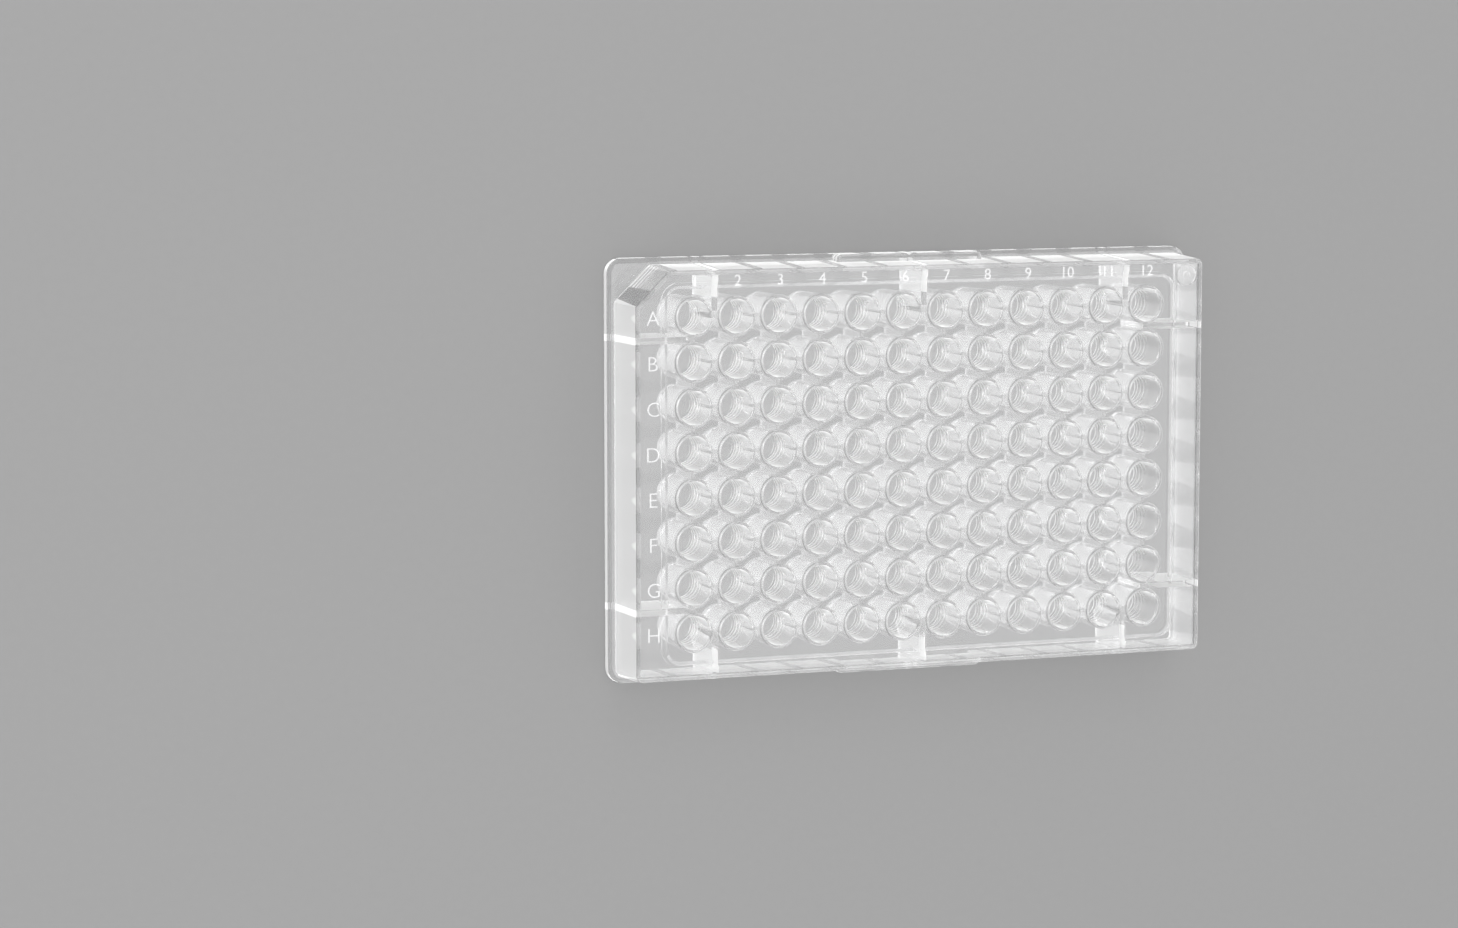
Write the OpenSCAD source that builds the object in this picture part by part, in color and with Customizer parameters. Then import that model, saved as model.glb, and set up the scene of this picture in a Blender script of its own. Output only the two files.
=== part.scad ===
// Microplate with 96 flat-bottomed wells, moulded in one piece from clear plastic.
// Millimetres, +Z up. The origin is at the middle of the base, row A of the wells
// is on the +Y side and column 1 is at the -X end.

/* [Footprint] */
// Length of the base over its flange
plate_l = 127.76; // [127:0.01:160]
// Width of the base over its flange
plate_w = 85.48; // [85:0.01:110]
// Height from the base to the top of the rim
plate_h = 14.22; // [12:0.01:20]
// Radius of the rim's corners in plan
rim_r = 1.27; // [1.25:0.01:3]
// Leg of the bevelled corner beside well A1, at the rim
bevel = 7; // [4:0.1:8]

/* [Wells] */
// Number of columns, along X
columns = 12; // [4:2:12]
// Number of rows, along Y
rows = 8; // [4:2:8]
// Distance between the centres of neighbouring wells
pitch = 9; // [8.6:0.1:9]
// Diameter of a well at its mouth
mouth_d = 6.86; // [5:0.01:7.2]
// How much wider a well is at its mouth than at its floor
well_taper = 0.51; // [0.1:0.01:1]
// Depth of a well from its mouth to its floor
well_depth = 10.67; // [6:0.01:11]
// Width of the bevel round a well's floor
floor_edge = 0.3; // [0.1:0.05:0.6]
// Thickness of the window under a well
window_t = 1.15; // [0.8:0.05:1.3]
// How far the window is set up into the foot of its tube
window_set = 0.25; // [0.1:0.05:0.4]
// Thickness of a tube's wall at its mouth
mouth_t = 0.62; // [0.5:0.01:0.9]
// Thickness of a tube's wall at its foot
foot_t = 0.72; // [0.5:0.01:0.9]
// Height of the collar round a mouth above the well field
collar_h = 0.27; // [0.1:0.01:0.5]
// Width of the bevel on the outer edge of a collar
collar_edge = 0.15; // [0.05:0.05:0.25]
// Width of the bevel on the inner edge of a mouth
mouth_edge = 0.1; // [0.05:0.05:0.2]
// Thickness of the webs that join neighbouring tubes
web_t = 0.8; // [0.5:0.05:1.2]
// Height of the webs' lower edge above the tubes' feet
web_rise = 1.95; // [0.5:0.05:6]

/* [Deck] */
// Thickness of the deck
deck_t = 1; // [0.8:0.05:1.5]
// Height of the rim's lip above the deck
lip_h = 0.17; // [0.1:0.01:0.4]
// How far the well field is sunk below the deck round it
field_drop = 0.6; // [0.3:0.05:0.9]
// Distance from the outer wells' centres to the upper edge of the well field
field_margin = 6.3; // [5.2:0.05:6.5]
// Radius of the well field's corners at its upper edge
field_r = 3.2; // [2:0.1:4]
// Width of the slope that leads down to the well field
field_slope = 0.7; // [0.2:0.05:1]

/* [Skirt] */
// Thickness of the skirt's wall
wall_t = 1; // [0.8:0.05:1.2]
// How far the base reaches out past the rim on each side
overhang = 1.93; // [1.7:0.01:2.2]
// How far the wall leans out between the rim and its foot
flare = 0.6; // [0.3:0.05:0.75]
// Height of the flange at the base
flange_h = 2.4; // [2:0.1:3.5]
// Thickness of the flange's downstand
flange_t = 1.15; // [0.9:0.05:1.3]
// Thickness of the ledge that joins the wall to the flange
ledge_t = 1.1; // [0.8:0.05:1.3]
// Radius between the wall and the ledge
foot_r = 0.9; // [0.5:0.1:1]
// Radius on the outer edges of the flange
flange_edge_r = 0.5; // [0.2:0.05:0.8]
// Radius on both edges of the rim
rim_edge_r = 0.25; // [0.1:0.05:0.35]

/* [Ribs] */
// Thickness of the ribs between the skirt and the outer tubes
rib_t = 1.25; // [0.8:0.05:1.6]
// Height of the ribs' lower edge, which rests on the plate below in a stack
rib_foot = 1.2; // [0.6:0.1:2]

/* [Grip pads] */
// Length of the pad in the middle of each long side
pad_l = 31.8; // [20:0.1:40]
// Height of the pad above the base
pad_h = 6; // [4:0.1:9]
// Radius of the pad's upright edges
pad_r = 1; // [0.6:0.1:1.5]

/* [Gate] */
// Diameter of the dimple round the moulding gate
gate_d = 4.4; // [3:0.1:4.6]
// Depth of the dimple
gate_depth = 0.35; // [0.1:0.05:0.5]
// Diameter of the stub that the gate left in the dimple
stub_d = 1.5; // [0.8:0.1:2]
// Distance from the gate's centre to the rim on both sides
gate_in = 3.4; // [3.3:0.1:3.6]

/* [Hidden] */
$fn = 48;
eps = 0.01;
// How far a blend is sunk into what it joins
sink = 0.02;

clear_plastic = [0.86, 0.88, 0.89];

// Outlines in plan are straight runs and bends about the centres of four corners,
// which the rim and the base share
rim_x = plate_l / 2 - overhang;
rim_y = plate_w / 2 - overhang;
corner_r = rim_r + overhang;
corners = rectangle(plate_l / 2 - corner_r, plate_w / 2 - corner_r);

// Heights above the base
ledge_z = flange_h - ledge_t;
deck_top = plate_h - lip_h;
field_top = deck_top - field_drop;
mouth_z = field_top + collar_h;
floor_z = mouth_z - well_depth;
tube_foot = floor_z - window_t - window_set;
web_foot = tube_foot + web_rise;

// Diameters of a well's floor and of its tube's outside
floor_d = mouth_d - well_taper;
tube_d = mouth_d + 2 * mouth_t;
tube_foot_d = floor_d + 2 * foot_t;

// Places of the wells and of the ribs beside them
last_x = (columns - 1) / 2 * pitch;
last_y = (rows - 1) / 2 * pitch;
well_x = [for (c = [0 : columns - 1]) c * pitch - last_x];
well_y = [for (r = [0 : rows - 1]) last_y - r * pitch];
rib_x = [-(columns / 2 - 1) * pitch, 0, (columns / 2 - 1) * pitch];
rib_y = [-(rows / 2 - 1) * pitch, (rows / 2 - 1) * pitch];

// The corners of a rectangle in turn, given half its length and width
function rectangle(x, y) = [[x, -y], [x, y], [-x, y], [-x, -y]];

// A rectangle grown by a distance, with its corners rounded to it
module outline(centres, out) {
    x = centres[1][0];
    y = centres[1][1];
    square([2 * x, 2 * (y + out)], center = true);
    square([2 * (x + out), 2 * y], center = true);
    for (centre = centres)
        translate(centre) circle(out);
}

// A full body round a rectangle, between two heights. The child profile is its side,
// with X the distance out from the rectangle.
module body(centres, from, to) {
    x = centres[1][0];
    y = centres[1][1];
    core = (rim_r - wall_t) / 2;
    translate([-x - core, -y - core, from])
        cube([2 * (x + core), 2 * (y + core), to - from]);
    for (centre = centres)
        translate(centre) rotate_extrude() children();
    for (side = [0, 180]) {
        rotate(side) translate([x, y, 0])
            rotate([90, 0, 0]) linear_extrude(2 * y) children();
        rotate(side + 90) translate([y, x, 0])
            rotate([90, 0, 0]) linear_extrude(2 * x) children();
    }
}

// Places what faces out along X at the bevelled corner, with the rim's face at X = 0
module at_bevel() {
    translate([-rim_x, rim_y, 0]) rotate(135)
        translate([-bevel * cos(45), 0, 0]) children();
}

// What lies outside the child profile at the bevelled corner
module bevel_cut() {
    reach = bevel + corner_r;
    at_bevel() translate([0, reach, 0]) rotate([90, 0, 0]) linear_extrude(2 * reach)
        difference() {
            translate([-wall_t - sink, -1]) square([reach, plate_h + 3]);
            translate([-rim_r, 0]) children();
        }
}

// Side of a body with both outer edges rounded
module rounded_side(reach, height, r) {
    square([reach - r, height]);
    translate([0, r]) square([reach, height - 2 * r]);
    for (z = [r, height - r])
        translate([reach - r, z]) circle(r);
}

// Outer side of the wall: it leans out towards its foot and blends into the ledge
module wall_side() {
    top = plate_h - rim_edge_r;
    lean = atan(flare / (top - flange_h));
    blend_x = rim_r + flare + foot_r * (1 - sin(lean)) / cos(lean) - sink;
    blend_z = flange_h + foot_r - sink;
    polygon([
        [0, ledge_z],
        [rim_r + flare, ledge_z],
        [rim_r + flare, flange_h],
        [rim_r, top],
        [rim_r - rim_edge_r, top],
        [rim_r - rim_edge_r, plate_h],
        [0, plate_h]
    ]);
    translate([rim_r - rim_edge_r, top]) circle(rim_edge_r);
    difference() {
        translate([rim_r - sink, ledge_z])
            square([blend_x - rim_r + sink, blend_z - ledge_z]);
        translate([blend_x, blend_z]) circle(foot_r);
    }
}

// Inner side of the wall, with the inner edge of the rim rounded
module cavity_side() {
    x = rim_r - wall_t;
    top = plate_h - rim_edge_r;
    polygon([
        [0, ledge_z - eps],
        [x + flare, ledge_z - eps],
        [x, top],
        [x, plate_h + 1],
        [0, plate_h + 1]
    ]);
    difference() {
        translate([0, top]) square([x + rim_edge_r, rim_edge_r + 1]);
        translate([x + rim_edge_r, top]) circle(rim_edge_r);
    }
}

// The body of the skirt before it is hollowed, with its flange and grip pads
module skirt_body() {
    pads = rectangle(pad_l / 2 - pad_r, plate_w / 2 - pad_r);
    difference() {
        body(corners, ledge_z, plate_h) wall_side();
        bevel_cut() wall_side();
    }
    body(corners, 0, flange_h) rounded_side(corner_r, flange_h, flange_edge_r);
    body(pads, 0, pad_h) rounded_side(pad_r, pad_h, flange_edge_r);
}

// Everything inside the wall, the recess that takes the rim of the plate below, and
// the hollows of the grip pads
module skirt_hollow() {
    difference() {
        body(corners, ledge_z - eps, plate_h + 1) cavity_side();
        bevel_cut() cavity_side();
    }
    translate([0, 0, -1]) linear_extrude(ledge_z + 1)
        outline(corners, corner_r - flange_t);
    translate([wall_t - pad_l / 2, wall_t - plate_w / 2, -1])
        cube([pad_l - 2 * wall_t, plate_w - 2 * wall_t, pad_h - wall_t + 1]);
}

// One sheet of even thickness that steps down to the well field
module deck() {
    margin = field_margin - field_r;
    field = rectangle(last_x + margin, last_y + margin);
    step = field_r + deck_t / 2;
    difference() {
        union() {
            translate([0, 0, deck_top - deck_t]) linear_extrude(deck_t)
                difference() {
                    outline(corners, rim_r - wall_t / 2);
                    at_bevel() translate([-wall_t / 2, -bevel])
                        square(2 * bevel);
                }
            translate([0, 0, field_top - deck_t]) linear_extrude(deck_t)
                outline(field, step);
        }
        at_wells() translate([0, 0, field_top - deck_t - eps])
            cylinder(h = deck_t + 2 * eps, r = (mouth_d + tube_d) / 4);
        body(field, field_top, deck_top + 1)
            polygon([
                [0, field_top],
                [field_r - field_slope, field_top],
                [field_r, deck_top],
                [field_r, deck_top + 1],
                [0, deck_top + 1]
            ]);
    }
}

// A well's tube, open at the mouth, with its collar and the window at its foot
module tube() {
    outer = tube_d / 2;
    inner = floor_d / 2;
    mouth = mouth_d / 2;
    rotate_extrude()
        polygon([
            [0, tube_foot + window_set],
            [inner, tube_foot + window_set],
            [inner, tube_foot],
            [tube_foot_d / 2, tube_foot],
            [outer, field_top],
            [outer, mouth_z - collar_edge],
            [outer - collar_edge, mouth_z],
            [mouth + mouth_edge, mouth_z],
            [mouth, mouth_z - mouth_edge],
            [inner, floor_z + floor_edge],
            [inner - floor_edge, floor_z],
            [0, floor_z]
        ]);
}

module at_wells() {
    for (x = well_x, y = well_y)
        translate([x, y, 0]) children();
}

// Webs between neighbouring tubes, which end inside the tubes' walls
module webs() {
    height = field_top - deck_t / 2 - web_foot;
    end = (mouth_d + tube_foot_d) / 4;
    for (x = well_x, y = well_y) {
        if (x < last_x)
            translate([x + end, y - web_t / 2, web_foot])
                cube([pitch - 2 * end, web_t, height]);
        if (y < last_y)
            translate([x - web_t / 2, y + end, web_foot])
                cube([web_t, pitch - 2 * end, height]);
    }
}

// Ribs from the skirt to the outer tubes, which also carry the next plate in a stack
module ribs() {
    height = deck_top - deck_t / 2 - rib_foot;
    seat = (wall_t - flare) / 2;
    reach_x = rim_x - seat - last_x;
    reach_y = rim_y - seat - last_y;
    pad_reach = rim_y + overhang - wall_t / 2 - last_y;
    for (side = [0, 180]) {
        for (x = rib_x)
            rotate(side) translate([x - rib_t / 2, last_y, rib_foot])
                cube([rib_t, reach_y, height]);
        for (y = rib_y)
            rotate(side) translate([last_x, y - rib_t / 2, rib_foot])
                cube([reach_x, rib_t, height]);
        rotate(side) translate([-rib_t / 2, last_y, rib_foot])
            cube([rib_t, pad_reach, pad_h - wall_t / 2 - rib_foot]);
    }
}

// The dimple of the moulding gate, in the corner beside the last well of row A
module gate_dimple() {
    translate([rim_x - gate_in, rim_y - gate_in, deck_top - gate_depth])
        cylinder(h = 1, d = gate_d);
}

module gate_stub() {
    translate([rim_x - gate_in, rim_y - gate_in, deck_top - deck_t / 2])
        cylinder(h = deck_t / 2 - gate_depth / 3, d = stub_d);
}

module well_plate() {
    color(clear_plastic) {
        difference() {
            union() {
                difference() {
                    skirt_body();
                    skirt_hollow();
                }
                deck();
                webs();
                ribs();
                at_wells() tube();
            }
            gate_dimple();
        }
        gate_stub();
    }
}

well_plate();
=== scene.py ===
# Microplate of clear polystyrene, looked down on as it lies on a pale grey floor.
# Metres, +Z up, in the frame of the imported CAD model: the columns are numbered along
# +X, row A is on the +Y side and the plate's middle is on the Z axis.
import math

import bpy
from mathutils import Matrix, Vector


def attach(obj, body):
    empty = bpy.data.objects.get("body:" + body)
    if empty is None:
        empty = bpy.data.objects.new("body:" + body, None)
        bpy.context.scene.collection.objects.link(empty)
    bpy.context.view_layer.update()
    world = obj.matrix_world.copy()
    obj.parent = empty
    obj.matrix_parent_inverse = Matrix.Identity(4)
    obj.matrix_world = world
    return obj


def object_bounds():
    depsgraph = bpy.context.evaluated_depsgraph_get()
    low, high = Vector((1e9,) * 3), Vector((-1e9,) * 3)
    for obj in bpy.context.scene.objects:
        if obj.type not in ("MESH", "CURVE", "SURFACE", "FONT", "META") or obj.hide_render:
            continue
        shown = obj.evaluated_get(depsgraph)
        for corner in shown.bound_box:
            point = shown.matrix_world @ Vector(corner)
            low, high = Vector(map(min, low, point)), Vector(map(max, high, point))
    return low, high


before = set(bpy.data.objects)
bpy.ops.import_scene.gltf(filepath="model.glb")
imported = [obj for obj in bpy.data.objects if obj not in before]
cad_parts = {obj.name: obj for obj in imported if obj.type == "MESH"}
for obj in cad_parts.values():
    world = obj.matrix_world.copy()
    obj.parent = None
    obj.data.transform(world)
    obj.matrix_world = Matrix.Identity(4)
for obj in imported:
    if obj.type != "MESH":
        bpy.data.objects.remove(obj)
cad_low, cad_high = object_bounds()

MM = 0.001
PLATE = "well_plate"

# ---------------------------------------------------------- sizes of the plate
# Pairs are along X and along Y, from the plate's middle. They come from the CAD model's
# box and from sizes in part.scad, and lie within 0.5 mm of its faces: they only have to
# mark off one wall from the next.


def inset(distance):
    """Where something lies that is as far in from the base's ends as from its sides."""
    return (cad_high.x - distance, cad_high.y - distance)


ROWS = "ABCDEFGH"
COLUMNS = 12
PITCH = 9 * MM
WELL_RADIUS = 3.5 * MM
TUBE_RADIUS = 3.7 * MM
RIM = inset(2.08 * MM)
SKIRT_INSIDE = inset(3.4 * MM)
# The bevelled corner's inner face: Y less X is the same all over it
BEVEL = cad_high.x + cad_high.y - 12.32 * MM
DECK_UNDERSIDE = cad_high.z - 1.22 * MM
FLANGE_TOP = cad_low.z + 2.4 * MM
# The outer sides of the outer tubes
TUBES_END = (
    (COLUMNS - 1) / 2 * PITCH + TUBE_RADIUS,
    (len(ROWS) - 1) / 2 * PITCH + TUBE_RADIUS,
)
# From one rib to the next, and half a rib's thickness
RIB_SPACING = ((COLUMNS / 2 - 1) * PITCH, (len(ROWS) - 2) * PITCH)
HALF_RIB = 0.65 * MM
# The mark that the moulding gate left near well A12
GATE = inset(5.33 * MM)
GATE_RADIUS = 2.3 * MM
# From the rim's lip down to the deck
LIP = 0.17 * MM

# ---------------------------------------------------------------- node helpers


def node(tree, kind, inputs=None, **settings):
    """Adds a node, sets its properties and then its input sockets by name."""
    made = tree.nodes.new(kind)
    for key, value in settings.items():
        setattr(made, key, value)
    for key, value in (inputs or {}).items():
        made.inputs[key].default_value = value
    return made


def new_material(name):
    """A material with an empty node tree, that tree and its output node."""
    material = bpy.data.materials.new(name)
    material.use_nodes = True
    tree = material.node_tree
    tree.nodes.clear()
    return material, tree, tree.nodes.new("ShaderNodeOutputMaterial")


def noise(tree, coordinates, scale, detail):
    """A noise texture over object coordinates, with scale features a metre."""
    made = node(tree, "ShaderNodeTexNoise", {"Scale": scale, "Detail": detail})
    tree.links.new(coordinates, made.inputs["Vector"])
    return made.outputs["Fac"]


def math_node(tree, operation, *values):
    """The result of a Math node on sockets or floats."""
    made = node(tree, "ShaderNodeMath", operation=operation)
    for socket, value in zip(made.inputs, values):
        if isinstance(value, float):
            socket.default_value = value
        else:
            tree.links.new(value, socket)
    return made.outputs[0]


def fade(tree, value, start, end):
    """0 before start and 1 past end, which may lie above start or below it."""
    made = node(
        tree,
        "ShaderNodeMapRange",
        {"From Min": start, "From Max": end},
        interpolation_type="SMOOTHSTEP",
    )
    tree.links.new(value, made.inputs["Value"])
    return made.outputs["Result"]


# ------------------------------------------------------- places on the plate
# Each of these is 1 on a part of the plate and 0 off it. across, along and height are
# the sockets of the object coordinates.

# How wide the edges of these places are
SHARP = 0.1 * MM
SOFT = 0.3 * MM
# Painted highlight rings in the steep walls: rings of sheen that stand in for the
# reflected arcs of the highlight on the wells' bottom edge. The height above which there
# are none, that below which they are full, and the values of their sine between which
# each fades in
RING_PITCH = 1.5 * MM
RING_HEIGHTS = (9.5 * MM, 6.5 * MM)
RING_EDGE = (-0.2, 0.9)


def beyond(tree, distance, edge):
    """Further than edge to either side of the middle."""
    far = math_node(tree, "ABSOLUTE", distance)
    return fade(tree, far, edge - SHARP / 2, edge + SHARP / 2)


def off_axis(tree, across, along):
    """How far a spot lies from an axis, from its offsets along X and Y."""
    squares = [math_node(tree, "POWER", offset, 2.0) for offset in (across, along)]
    return math_node(tree, "SQRT", math_node(tree, "ADD", *squares))


def on_skirt(tree, across, along):
    """Outside the skirt's inner face, at the bevelled corner too."""
    ends = beyond(tree, across, SKIRT_INSIDE[0])
    sides = beyond(tree, along, SKIRT_INSIDE[1])
    diagonal = math_node(tree, "SUBTRACT", along, across)
    corner = fade(tree, diagonal, BEVEL - SHARP, BEVEL)
    return math_node(tree, "MAXIMUM", math_node(tree, "MAXIMUM", ends, sides), corner)


def in_wells(tree, across, along):
    """Within a well's radius of its axis. The wells lie on a grid of one pitch, half a
    pitch off the middle."""
    offsets = []
    for distance in (across, along):
        shifted = math_node(tree, "ADD", distance, PITCH / 2)
        offsets.append(math_node(tree, "PINGPONG", shifted, PITCH / 2))
    return fade(tree, off_axis(tree, *offsets), WELL_RADIUS + SHARP, WELL_RADIUS)


def on_ribs(tree, across, along):
    """On the ribs between the skirt and the outer tubes. Those along Y stand in the
    middle and one spacing from it, and those along X half a spacing from the middle."""
    half_x, half_y = RIB_SPACING[0] / 2, RIB_SPACING[1] / 2
    from_y = math_node(tree, "PINGPONG", across, half_x)
    from_x = math_node(tree, "PINGPONG", math_node(tree, "ADD", along, half_y), half_y)
    ribs = []
    for offset, out, edge in (
        (from_y, along, TUBES_END[1]),
        (from_x, across, TUBES_END[0]),
    ):
        near = fade(tree, offset, HALF_RIB + SHARP, HALF_RIB)
        ribs.append(math_node(tree, "MULTIPLY", near, beyond(tree, out, edge)))
    return math_node(tree, "MAXIMUM", *ribs)


def on_gate(tree, across, along):
    """On the mark of the moulding gate."""
    offsets = [
        math_node(tree, "SUBTRACT", distance, middle)
        for distance, middle in zip((across, along), GATE)
    ]
    return fade(tree, off_axis(tree, *offsets), GATE_RADIUS, GATE_RADIUS - SOFT)


def on_highlight_rings(tree, height):
    """On painted highlight rings low down in the walls: rings of sheen that stand in for
    the reflected arcs of the highlight on the wells' bottom edge.
    """
    turns = math_node(tree, "MULTIPLY", height, math.tau / RING_PITCH)
    arcs = fade(tree, math_node(tree, "SINE", turns), *RING_EDGE)
    return math_node(tree, "MULTIPLY", arcs, fade(tree, height, *RING_HEIGHTS))


# --------------------------------------------------------------------- plastic

# Sheen inside the skirt, with what the wells and their painted highlight rings have
# besides, and the share of it that is left where a wall is seen from within the plastic
SHEEN = 0.28
WELL_SHEEN = 0.4
RING_HIGHLIGHT_SHEEN = 0.6
FROM_WITHIN = 0.5
# Sheen that the ribs and the gate's mark have besides and, from outside only, the rim
# and what lies beyond it at the plate's ends and along its sides
RIB_SHEEN = 0.8
GATE_SHEEN = 1.0
END_SHEEN = 1.0
SIDE_SHEEN = 0.3
# What the skirt's steep faces have in roughness above the polish
FROST = 0.25
# Features a metre and detail of the polish, of the melt's flow and of the torn gate
POLISH_GRAIN = (900.0, 3.0)
FLOW_GRAIN = (260.0, 1.0)
TORN_GRAIN = (1200.0, 2.0)
# The ripple's strength, and how deep it and the torn gate are
RIPPLE = 0.003
RIPPLE_DEPTH = 0.02 * MM
TORN_DEPTH = 0.3 * MM
# What each surface lets through of the light that comes by shadow rays
LAMPLIGHT = (0.98, 0.98, 0.98, 1)


def sheen(tree, across, along, height, skirt, gate):
    """The soft whiteness of what is seen edge on, by place."""
    within = tree.nodes.new("ShaderNodeNewGeometry").outputs["Backfacing"]
    plain = math_node(tree, "MULTIPLY_ADD", skirt, -SHEEN, SHEEN)
    # The wells' painted highlight rings: extra sheen in rings, standing in for reflected
    # arcs
    rings = math_node(
        tree, "MULTIPLY_ADD", on_highlight_rings(tree, height), RING_HIGHLIGHT_SHEEN, WELL_SHEEN
    )
    wells = math_node(tree, "MULTIPLY", in_wells(tree, across, along), rings)
    share = math_node(tree, "MULTIPLY_ADD", within, FROM_WITHIN - 1.0, 1.0)
    weight = math_node(tree, "MULTIPLY", math_node(tree, "ADD", plain, wells), share)
    ends = math_node(tree, "MULTIPLY", beyond(tree, across, RIM[0]), END_SHEEN)
    sides = beyond(tree, along, RIM[1])
    outer = math_node(tree, "MULTIPLY_ADD", sides, SIDE_SHEEN, ends)
    for where, much in (
        (on_ribs(tree, across, along), RIB_SHEEN),
        (math_node(tree, "SUBTRACT", 1.0, within), outer),
        (gate, GATE_SHEEN),
    ):
        weight = math_node(tree, "MULTIPLY_ADD", where, much, weight)
    return weight


def roughness(tree, place, height, skirt, polish):
    """An uneven polish, and a faint frost on the skirt between flange and deck."""
    grain = noise(tree, place, *POLISH_GRAIN)
    uneven = math_node(tree, "MULTIPLY_ADD", grain, polish, polish / 2)
    below = fade(tree, height, DECK_UNDERSIDE, DECK_UNDERSIDE - SHARP)
    above = fade(tree, height, FLANGE_TOP, FLANGE_TOP + SOFT)
    steep = math_node(tree, "MULTIPLY", below, above)
    frosted = math_node(tree, "MULTIPLY", skirt, steep)
    return math_node(tree, "MULTIPLY_ADD", frosted, FROST, uneven)


def normal(tree, place, gate):
    """A slight ripple from the flow of the melt, and the torn surface of the gate."""
    ripple = node(
        tree, "ShaderNodeBump", {"Strength": RIPPLE, "Distance": RIPPLE_DEPTH}
    )
    tree.links.new(noise(tree, place, *FLOW_GRAIN), ripple.inputs["Height"])
    torn = node(tree, "ShaderNodeBump", {"Strength": 1.0, "Distance": TORN_DEPTH})
    spot = math_node(tree, "MULTIPLY", noise(tree, place, *TORN_GRAIN), gate)
    tree.links.new(spot, torn.inputs["Height"])
    tree.links.new(ripple.outputs["Normal"], torn.inputs["Normal"])
    return torn.outputs["Normal"]


def clear_plastic(name, haze, polish):
    """Clear moulded polystyrene, with a little haze and a roughness of about polish. It
    lets the light of the lamps and of the studio through to what lies under it."""
    material, tree, out = new_material(name)
    shader = node(
        tree,
        "ShaderNodeBsdfPrincipled",
        {
            "Base Color": (0.985, 0.988, 0.99, 1.0),
            "IOR": 1.59,
            "Transmission Weight": 1.0 - haze,
            "Specular IOR Level": 0.5,
            "Sheen Roughness": 0.5,
        },
    )
    place = node(tree, "ShaderNodeTexCoord").outputs["Object"]
    split = node(tree, "ShaderNodeSeparateXYZ")
    tree.links.new(place, split.inputs["Vector"])
    across, along, height = split.outputs
    skirt = on_skirt(tree, across, along)
    gate = on_gate(tree, across, along)
    for socket, value in (
        ("Sheen Weight", sheen(tree, across, along, height, skirt, gate)),
        ("Roughness", roughness(tree, place, height, skirt, polish)),
        ("Normal", normal(tree, place, gate)),
    ):
        tree.links.new(value, shader.inputs[socket])
    lamplight = node(tree, "ShaderNodeBsdfTransparent", {"Color": LAMPLIGHT})
    path = node(tree, "ShaderNodeLightPath")
    mix = node(tree, "ShaderNodeMixShader")
    tree.links.new(path.outputs["Is Shadow Ray"], mix.inputs["Fac"])
    tree.links.new(shader.outputs["BSDF"], mix.inputs[1])
    tree.links.new(lamplight.outputs["BSDF"], mix.inputs[2])
    tree.links.new(mix.outputs["Shader"], out.inputs["Surface"])
    return material


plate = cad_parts[PLATE]
polystyrene = clear_plastic("polystyrene", haze=0.045, polish=0.004)
plate.material_slots[0].material = polystyrene

# ------------------------------------------------------------------- lettering

LETTER_HEIGHT = 2.8 * MM
NUMBER_HEIGHT = 2.2 * MM
# From the base's edges to the middle of the letters and of the numbers
LETTERS_IN = 5.6 * MM
NUMBERS_IN = 4.1 * MM
# How far the characters stand above the deck and how far they are sunk into it
RELIEF = 0.12 * MM
SUNK = 0.02 * MM
# Half the depth of the characters, their rounding and how much thinner than the font's
# their strokes are on either side, all in shares of the font's size
HALF_DEPTH = 0.03
ROUNDING = 0.012
LETTER_THINNED = 0.028
NUMBER_THINNED = 0.014


def raised_text(text, middle, height, thinned):
    """Vertices and faces of one text on the deck. height is its size along Y, and its
    depth is stretched to RELIEF and SUNK."""
    curve = bpy.data.curves.new(text, "FONT")
    curve.body = text
    curve.resolution_u = 4
    curve.extrude = HALF_DEPTH
    curve.bevel_depth = ROUNDING
    curve.bevel_resolution = 1
    curve.offset = -thinned
    writing = bpy.data.objects.new(text, curve)
    solid = writing.to_mesh()
    points = [v.co.copy() for v in solid.vertices]
    faces = [tuple(f.vertices) for f in solid.polygons]
    writing.to_mesh_clear()
    bpy.data.objects.remove(writing)
    bpy.data.curves.remove(curve)
    low = Vector([min(p[i] for p in points) for i in range(3)])
    high = Vector([max(p[i] for p in points) for i in range(3)])
    size = height / (high.y - low.y)
    foot = cad_high.z - LIP - SUNK
    placed = []
    for p in points:
        offset = (p - (low + high) / 2) * size
        up = (p.z - low.z) / (high.z - low.z) * (RELIEF + SUNK)
        placed.append((middle[0] + offset.x, middle[1] + offset.y, foot + up))
    return placed, faces


def lettering(name, texts, height, thinned, material):
    """Several raised texts, each given with its middle, as one piece of the plate."""
    vertices, faces = [], []
    for text, middle in texts:
        points, loops = raised_text(text, middle, height, thinned)
        faces += [[len(vertices) + i for i in loop] for loop in loops]
        vertices += points
    mesh = bpy.data.meshes.new(name)
    mesh.from_pydata(vertices, [], faces)
    mesh.materials.append(material)
    piece = bpy.data.objects.new(name, mesh)
    bpy.context.collection.objects.link(piece)
    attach(piece, "root")


letters = [
    (text, (cad_low.x + LETTERS_IN, ((len(ROWS) - 1) / 2 - i) * PITCH))
    for i, text in enumerate(ROWS)
]
numbers = [
    (str(i + 1), ((i - (COLUMNS - 1) / 2) * PITCH, cad_high.y - NUMBERS_IN))
    for i in range(COLUMNS)
]
raised = clear_plastic("raised_polystyrene", haze=0.09, polish=0.1)
lettering("row_letters", letters, LETTER_HEIGHT, LETTER_THINNED, raised)
lettering("column_numbers", numbers, NUMBER_HEIGHT, NUMBER_THINNED, raised)

# ------------------------------------------------------- floor, lights, camera

# The floor's side, the greys between which its grain varies, and that grain
FLOOR_SIZE = 8.0
FLOOR_GREYS = (0.128, 0.134)
PAPER_GRAIN = (600.0, 4.0)
STUDIO_LIGHT = 0.8
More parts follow.
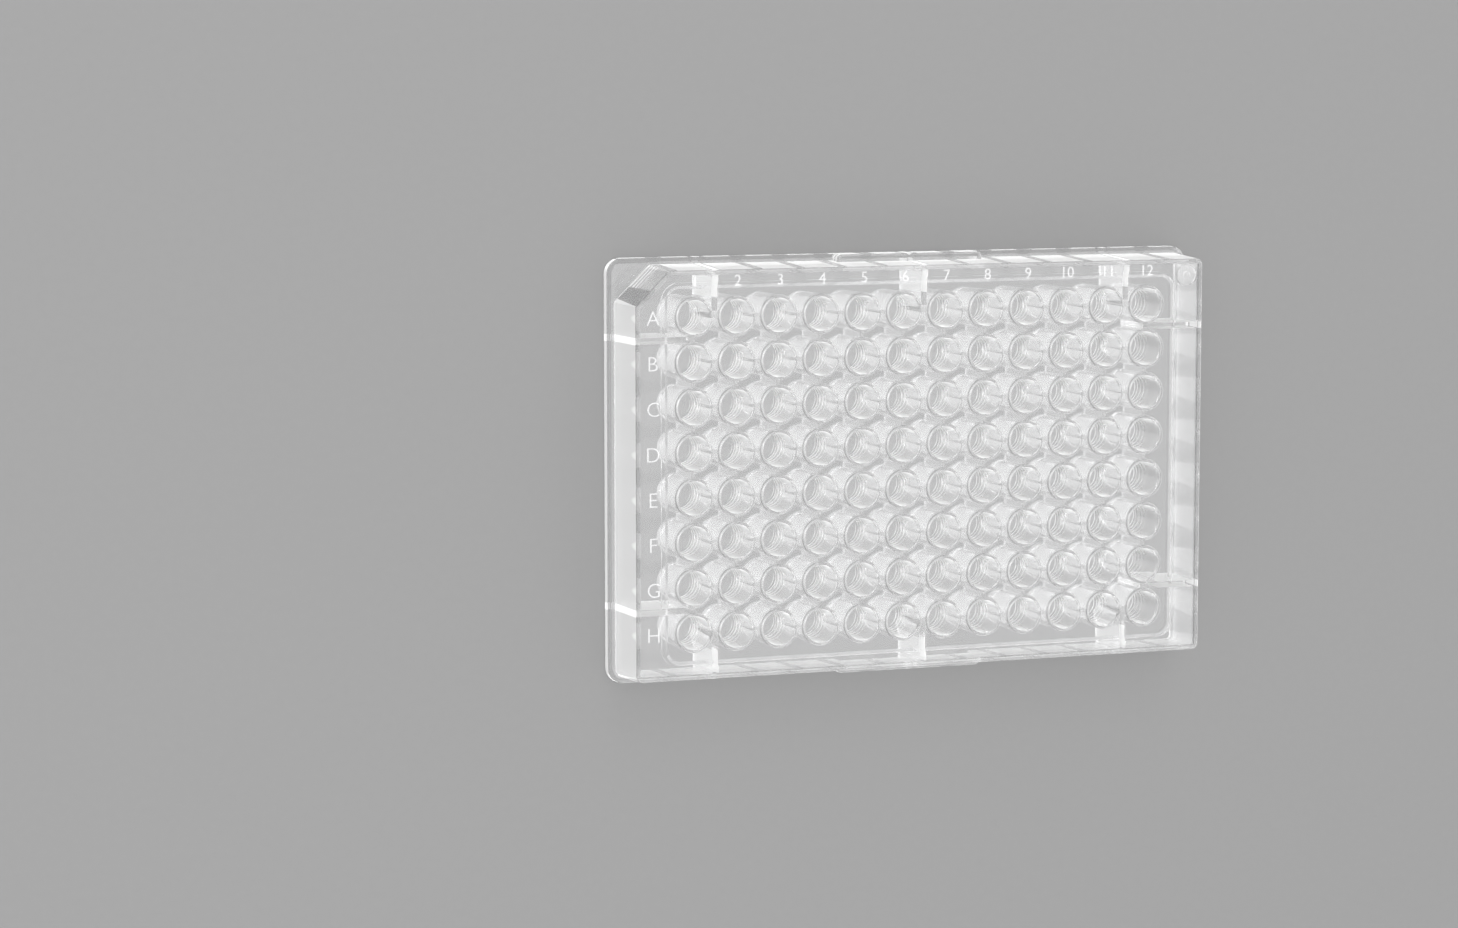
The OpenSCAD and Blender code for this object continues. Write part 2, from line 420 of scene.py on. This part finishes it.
# Each lamp's place, the side of its square and its watts
LAMPS = {
    "back": ((0.0, 1.0, 1.0), 0.5, 19),
    "front_left": ((-0.7, -0.8, 1.0), 0.5, 15),
    "front_right": ((0.7, -0.8, 1.0), 0.5, 8),
    "top": ((-0.3, 0.2, 1.6), 1.2, 26),
}
# How the plate stands in the camera's own axes: its turn about X, Y and Z, in radians,
# and the place of its middle
VIEW_TURN = (0.11144987, 0.35502958, 0.00057378)
VIEW_PLACE = (34.849 * MM, 0.99923 * MM, -801.8901 * MM)
# In millimetres, as Blender's cameras have them
SENSOR_WIDTH = 36
FOCAL_LENGTH = 96.23608
# How many surfaces light may meet, and how many shadow rays may pass straight through
BOUNCES = 24
SHADOW_SURFACES = 64


def make_floor():
    """A plain sheet of pale paper under the plate."""
    bpy.ops.mesh.primitive_plane_add(size=FLOOR_SIZE, location=(0, 0, cad_low.z))
    floor = bpy.context.object
    floor.name = "floor"
    material, tree, out = new_material("floor_paper")
    shader = node(
        tree, "ShaderNodeBsdfPrincipled", {"Roughness": 0.9, "Specular IOR Level": 0.1}
    )
    place = node(tree, "ShaderNodeTexCoord").outputs["Object"]
    shade = node(tree, "ShaderNodeMix", data_type="RGBA")
    for socket, grey in zip("AB", FLOOR_GREYS):
        shade.inputs[socket].default_value = (grey, grey, grey, 1)
    tree.links.new(noise(tree, place, *PAPER_GRAIN), shade.inputs["Factor"])
    tree.links.new(shade.outputs["Result"], shader.inputs["Base Color"])
    tree.links.new(shader.outputs["BSDF"], out.inputs["Surface"])
    floor.data.materials.append(material)


def make_world():
    """An even white studio, which is what the plastic reflects and refracts. Cycles
    sends shadow rays to a world only if its strength isn't one plain value. They light
    what lies under the plastic, so the strength is worked out from the direction, to
    the same value all round."""
    world = bpy.data.worlds.new("studio")
    world.use_nodes = True
    tree = world.node_tree
    direction = node(tree, "ShaderNodeTexCoord").outputs["Generated"]
    split = node(tree, "ShaderNodeSeparateXYZ")
    tree.links.new(direction, split.inputs["Vector"])
    level = node(
        tree,
        "ShaderNodeMapRange",
        {"To Min": STUDIO_LIGHT, "To Max": STUDIO_LIGHT},
        interpolation_type="SMOOTHSTEP",
    )
    tree.links.new(split.outputs["Z"], level.inputs["Value"])
    back = tree.nodes["Background"]
    back.inputs["Color"].default_value = (1, 1, 1, 1)
    tree.links.new(level.outputs["Result"], back.inputs["Strength"])
    bpy.context.scene.world = world


def area_light(name, place, side, watts):
    """A square lamp aimed at the plate's middle. It lights the plate but isn't seen in
    its reflections or through it."""
    data = bpy.data.lights.new(name, "AREA")
    data.size = side
    data.energy = watts
    light = bpy.data.objects.new(name, data)
    light.visible_glossy = False
    light.visible_transmission = False
    light.location = place
    towards = Vector() - light.location
    light.rotation_euler = towards.to_track_quat("-Z", "Y").to_euler()
    bpy.context.collection.objects.link(light)


def make_camera():
    """The camera, where the photograph's stood in relation to the plate."""
    data = bpy.data.cameras.new("camera")
    data.sensor_width = SENSOR_WIDTH
    data.lens = FOCAL_LENGTH
    data.clip_end = 50
    camera = bpy.data.objects.new("camera", data)
    turn_x, turn_y, turn_z = (
        Matrix.Rotation(angle, 4, axis) for angle, axis in zip(VIEW_TURN, "XYZ")
    )
    seen = Matrix.Translation(VIEW_PLACE) @ turn_z @ turn_x @ turn_y
    camera.matrix_world = seen.inverted()
    bpy.context.collection.objects.link(camera)
    bpy.context.scene.camera = camera


make_floor()
make_world()
for name, (place, side, watts) in LAMPS.items():
    area_light(name, place, side, watts)
make_camera()

scene = bpy.context.scene
scene.view_settings.view_transform = "Standard"
scene.cycles.caustics_refractive = False
scene.cycles.caustics_reflective = False
scene.cycles.max_bounces = BOUNCES
scene.cycles.transmission_bounces = BOUNCES
scene.cycles.transparent_max_bounces = SHADOW_SURFACES
